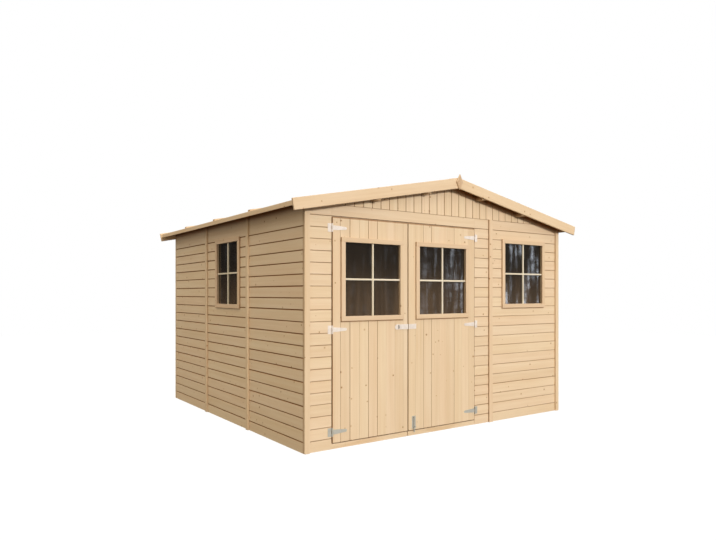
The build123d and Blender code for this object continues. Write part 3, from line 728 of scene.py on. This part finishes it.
def window_trim(place, area):
    """Casing, lining, bars and beads of one window whose casing fills the area
    (u0, u1, v0, v1); returns the wood parts and the bars."""
    u0, u1, v0, v1 = area
    wood, inner, bars = [], [], []
    a0, a1, b0, b1 = u0 + casing_wide, u1 - casing_wide, v0 + casing_wide, v1 - casing_wide
    for low in (v0, b1):
        wood.append(length(place, rectangle(low, low + casing_wide, 0, casing_thick, casing_round),
                           u0, u1, shade=casing_crease_shade))
    for low in (-a0, -u1):
        wood.append(on_turned(place, rectangle(low, low + casing_wide, 0, casing_thick, casing_round),
                              b0, b1, shade=casing_crease_shade))

    def lining(edge, away):
        tail = edge + away * glass_bite
        rim = edge + away * lining_thick
        return [(edge, 0.0), (rim, 0.0), (rim, -lining_deep), (tail, -lining_deep),
                (tail, -glass_front), (edge, -glass_front)]

    def bead(edge, away):
        tail = edge + away * glass_bite
        rim = -glass_back - bead_deep
        return eased([(edge, -glass_back), (tail, -glass_back), (tail, rim),
                      (edge + away * bead_slope, rim), (edge, -glass_back - bead_lip)], 0.0008)

    for edge, away in ((b0, -1), (b1, 1)):
        inner.append(length(place, lining(edge, away), a0 - lining_thick, a1 + lining_thick,
                            ease=inner_ease))
        inner.append(length(place, bead(edge, away), a0 - glass_bite, a1 + glass_bite, ease=inner_ease))
    for edge, away in ((-a0, 1), (-a1, -1)):
        inner.append(on_turned(place, lining(edge, away), b0, b1, ease=inner_ease))
        inner.append(on_turned(place, bead(edge, away), b0, b1, ease=inner_ease))
    half = bar_wide / 2
    mid_u, mid_v = (u0 + u1) / 2, (v0 + v1) / 2
    bar = [(-half, -glass_front), (half, -glass_front), (half, -bar_step), (half * bar_nose, bar_front),
           (-half * bar_nose, bar_front), (-half, -bar_step)]
    shape = eased(bar, 0.0008)
    bars.append(on_turned(place, shape + (-mid_u, 0), b0, b1, ease=inner_ease))
    bars.append(length(place, shape + (mid_v, 0), a0, mid_u - half, ease=inner_ease))
    bars.append(length(place, shape + (mid_v, 0), mid_u + half, a1, ease=inner_ease))
    return wood, inner, bars


def window(name, place, body, node):
    """One finished window in three pieces, in place of its frame's node."""
    wood, inner, bars = window_trim(place, reach(node, place))
    piece(name + "_casing", wood, casing_wood, body, "window_wood", node)
    piece(name + "_lining", inner, lining_wood, body, "window_wood")
    piece(name + "_bars", bars, bar_wood, body, "window_wood")


window("front_window", front_face, "shed", "front_window_frame")
window("left_window", left_face, "shed", "left_window_frame")
window("right_window", right_face, "shed", "right_window_frame")

# Panes. Clear plastic glazing, 4 mm. From outside it shows the dark room behind it and a faint mirrored
# band of trees; a slow wave keeps the reflection uneven. The pane's colour turns brown low down, painted
# light of the lit room behind it.
pane = bpy.data.materials.new("window_glass")
pane.use_nodes = True
glass = pane.node_tree
glass.nodes.clear()
here = add_node(glass, "TexCoord").outputs["Object"]
ripple = add_node(glass, "TexNoise", {"Vector": here, "Scale": 3.0, "Detail": 1.0}).outputs[0]
dust = add_node(glass, "TexNoise", {"Vector": here, "Scale": 60.0, "Detail": 4.0}).outputs[0]
wavy = add_node(glass, "Bump", {"Height": ripple, "Strength": 0.03, "Distance": 0.01}).outputs[0]
film = spread(glass, dust, 0.4, 0.75, 0.015, 0.03)
pane_height = add_node(glass, "SeparateXYZ", {0: here}).outputs[2]
upright = add_node(glass, "Mapping", {"Vector": here, "Scale": (13, 13, 1.1)}).outputs[0]
runs = add_node(glass, "TexNoise", {"Vector": upright, "Scale": 1.0, "Detail": 3.0}).outputs[0]
# Painted light of the lit room behind the pane: the colour turns brown low down, unevenly.
painted_room_light = calc(glass, "MULTIPLY", spread(glass, pane_height, 1.05, 1.55, 1.0, 0.10),
            spread(glass, runs, 0.36, 0.66, 0.62, 1.08))
tint = mix_colour(glass, painted_room_light, (0.018, 0.014, 0.010, 1), (0.115, 0.076, 0.046, 1))
pane_surface = add_node(glass, "BsdfPrincipled", {"Base Color": tint, "Roughness": film, "Normal": wavy,
                                                  "IOR": 1.5, "Alpha": 0.74}).outputs[0]
add_node(glass, "OutputMaterial", {"Surface": pane_surface})
for part in ("front_window_glass", "left_window_glass", "right_window_glass",
             "left_door_window_glass", "right_door_window_glass"):
    finish_node(part, pane)

# Door leaves. Upright tongued boards, 16 thick, nailed to a light frame of
# stiles and ledges behind them, with the same window let into each leaf.
leaf_board = 0.0905
# Painted shade lines on the leaves: a shadow under each window's casing, and shade at the heads of the
# leaves under the header.
head_shade_thick = 0.010
leaf_head_shade = (0.0, shed_x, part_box("left_door_boards")[1].z, head_shade_thick)
leaf_foot_shadows = [casing_foot_shadow(side + "_door_window_frame") for side in ("left", "right")]
leaf_wood = pine("leaf_wood", (0.825, 0.655, 0.468), knots=0.36, shadow_lines=[*leaf_foot_shadows, leaf_head_shade])
leaf_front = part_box("left_door_boards")[0].y
leaf_face = plane((0, leaf_front, 0), (0, 0, 1), (-1, 0, 0))
leaf_level = plane((0, leaf_front, 0), (1, 0, 0), (0, 0, 1))
ledge_wood = pine("ledge_wood", (0.78, 0.60, 0.41))
stile_wide, ledge_wide = 0.060, 0.092
board_marks = {"left": -1.004, "right": -0.236}
joint_shares = {"left": (0.65, 1, 0.45, 0.85, 0.85, 0.12, 0.25, 0.3),
                "right": (0.3, 0.65, 0.9, 0.12, 0.25, 0.85, 0.12, 0.3)}
# The leaves' outer edges get a wider V, whose painted shade darkens the lines at the leaves' edges and
# between them.
leaf_vee, edge_share, edge_gap, least_width = 0.0028, 1.6, 0.0008, 0.012
for side, mark in board_marks.items():
    node = side + "_door_boards"
    area = reach(node, leaf_face)
    joints = np.sort(-(mark + leaf_board * np.arange(-9, 10)))
    joints = joints[(joints > area[2] + least_width) & (joints < area[3] - least_width)]
    joints = np.concatenate([[area[2] - edge_gap], joints, [area[3] + edge_gap]])
    shares = (edge_share, *joint_shares[side][::-1], edge_share)
    hole = hole_for(side + "_door_window_frame", leaf_face)
    piece(side + "_door_planks", boarding(leaf_face, joints, area, hole, vee=leaf_vee, dirt_and_shade=0.9,
                                        open_share=shares, ease=0.005), leaf_wood,
          side + "_door", "wall_wood", node)
    window(side + "_door_window", leaf_level, side + "_door", side + "_door_window_frame")

    back = reach(side + "_door_ledges", leaf_level)
    low_y, high_y = (corner.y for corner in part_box(side + "_door_ledges"))
    d0, d1 = leaf_front - high_y, leaf_front - low_y
    h0, h1, g0, g1 = hole_for(side + "_door_window_frame", leaf_level)
    in_left, in_right = back[0] + stile_wide, back[1] - stile_wide
    under_window = g0 - ledge_wide
    mid_rail = back[2] + (under_window - back[2]) / 2
    ledges = []
    for low in (-back[0] - stile_wide, -back[1]):
        ledges.append(on_turned(leaf_level, rectangle(low, low + stile_wide, d0, d1), back[2], back[3]))
    for low, high in ((back[2], back[2] + ledge_wide), (mid_rail, mid_rail + ledge_wide),
                      (under_window, g0), (g1, g1 + ledge_wide), (g1 + ledge_wide, back[3])):
        ledges.append(length(leaf_level, rectangle(low, high, d0, d1), in_left, in_right))
    for left, right in ((in_left, h0), (h1, in_right)):
        ledges.append(on_turned(leaf_level, rectangle(-right, -left, d0, d1), g0, g1))
    piece(side + "_door_frame", ledges, ledge_wood, side + "_door", "frame_wood", side + "_door_ledges")

# Ironwork. Pressed steel, zinc plated: three T-hinges a leaf, a hasp over its
# staple, and a drop bolt at the foot of the right leaf, all on small dome screws.
# The plating is bright above and greyer near the ground; the staple is dark steel, painted shade for the
# shadow in the hasp's slot.
zinc = bpy.data.materials.new("zinc_plate")
zinc.use_nodes = True
plating = zinc.node_tree
plating.nodes.clear()
spot = add_node(plating, "TexCoord").outputs["Object"]
spangle = add_node(plating, "TexVoronoi", {"Vector": spot, "Scale": 140.0}).outputs["Color"]
spangle = add_node(plating, "SeparateColor", {0: spangle}).outputs[0]
smear = add_node(plating, "TexNoise", {"Vector": spot, "Scale": 45.0, "Detail": 4.0}).outputs[0]
grey = mix_colour(plating, spread(plating, smear, 0.3, 0.7), (0.80, 0.70, 0.62, 1),
                  (0.88, 0.78, 0.70, 1))
grey = mix_colour(plating, calc(plating, "MULTIPLY", spangle, 0.12), grey,
                  (0.86, 0.87, 0.90, 1), "MULTIPLY")
plate_height = add_node(plating, "SeparateXYZ", {0: spot}).outputs[2]
near_ground = spread(plating, plate_height, 0.25, 0.8, 1.0, 0.0)
grey = mix_colour(plating, near_ground, grey, (0.60, 0.66, 0.66, 1), "MULTIPLY")
dulled = spread(plating, smear, 0.3, 0.75, 0.42, 0.52)
dent = add_node(plating, "Bump", {"Height": smear, "Strength": 0.05, "Distance": 0.0004}).outputs[0]
metal = add_node(plating, "BsdfPrincipled", {"Base Color": grey, "Metallic": 0.22, "Roughness": dulled,
                                             "Normal": dent}).outputs[0]
add_node(plating, "OutputMaterial", {"Surface": metal})
for part in ("hinge_plates", "left_hinge_straps", "right_hinge_straps", "hasp_plate", "hasp_strap",
             "bolt_plate", "drop_bolt"):
    finish_node(part, zinc)
# The staple is painted dark: painted shade for the shadow in the hasp's slot round it.
staple_shade_steel = bpy.data.materials.new("staple_shade_steel")
staple_shade_steel.use_nodes = True
steel = staple_shade_steel.node_tree
steel.nodes.clear()
steel_spot = add_node(steel, "TexCoord").outputs["Object"]
steel_smear = add_node(steel, "TexNoise", {"Vector": steel_spot, "Scale": 90.0, "Detail": 3.0}).outputs[0]
steel_grey = mix_colour(steel, steel_smear, (0.26, 0.24, 0.21, 1), (0.40, 0.37, 0.33, 1))
dark_metal = add_node(steel, "BsdfPrincipled", {"Base Color": steel_grey, "Metallic": 0.5,
                                                "Roughness": 0.45}).outputs[0]
add_node(steel, "OutputMaterial", {"Surface": dark_metal})
finish_node("hasp_staple", staple_shade_steel)

screw_wide, screw_tall = 0.0075, 0.0016
hinge_heights = (0.133, 0.928, 1.721)
plate_thick = 0.0025


def screws(name, centres, body):
    """Domes on the front face: ring j of four has radius R cos t and stands out
    H sin t, t from 0 to almost a quarter turn, and a small flat closes the top."""
    around, turn = 10, np.arange(10) * math.tau / 10
    lift = np.array([0, 0.45, 0.9, 1.25])
    radius = screw_wide / 2 * np.cos(lift)
    out = np.broadcast_to(-screw_tall * np.sin(lift)[:, None], (4, around))
    dome = np.stack([radius[:, None] * np.cos(turn), out, radius[:, None] * np.sin(turn)], -1)
    dome = dome.reshape(-1, 3)
    here = np.arange(around)
    there = np.roll(here, -1)
    base = around * np.arange(3)[:, None]
    sides = np.stack([base + here, base + there, base + around + there, base + around + here], -1)
    flat = np.zeros(len(dome))
    parts = [{"points": dome + centre, "sides": sides.reshape(-1, 4),
              "caps": [here[::-1], here + 3 * around], "grain": dome, "tone": flat, "shade": flat}
             for centre in np.array(centres, float)]
    piece(name, parts, zinc, body, "zinc")


pin_left, pin_right = -1.2605, 0.2935
strap_screws = (0.034, 0.078, 0.120)
plate_far, plate_near, plate_up = 0.028, 0.014, 0.022
wall_y, leaf_y = -shed_y - plate_thick, leaf_front - plate_thick
plate_spots, left_spots, right_spots = [], [], []
for z in hinge_heights:
    for pin, way, spots in ((pin_left, 1, left_spots), (pin_right, -1, right_spots)):
        plate_spots += [(pin - way * plate_far, wall_y, z + plate_up),
                        (pin - way * plate_far, wall_y, z - plate_up),
                        (pin - way * plate_near, wall_y, z)]
        spots += [(pin + way * far, leaf_y, z) for far in strap_screws]
hasp_mid = 0.930
right_spots += [(x, leaf_y, hasp_mid + dz) for x in (-0.462, -0.426) for dz in (-0.012, 0.012)]
right_spots += [(x, leaf_y, z) for x in (-0.453, -0.425) for z in (0.085, 0.139)]
screws("hinge_plate_screws", plate_spots, "shed")
screws("left_leaf_screws", left_spots, "left_door")
screws("right_leaf_screws", right_spots, "right_door")
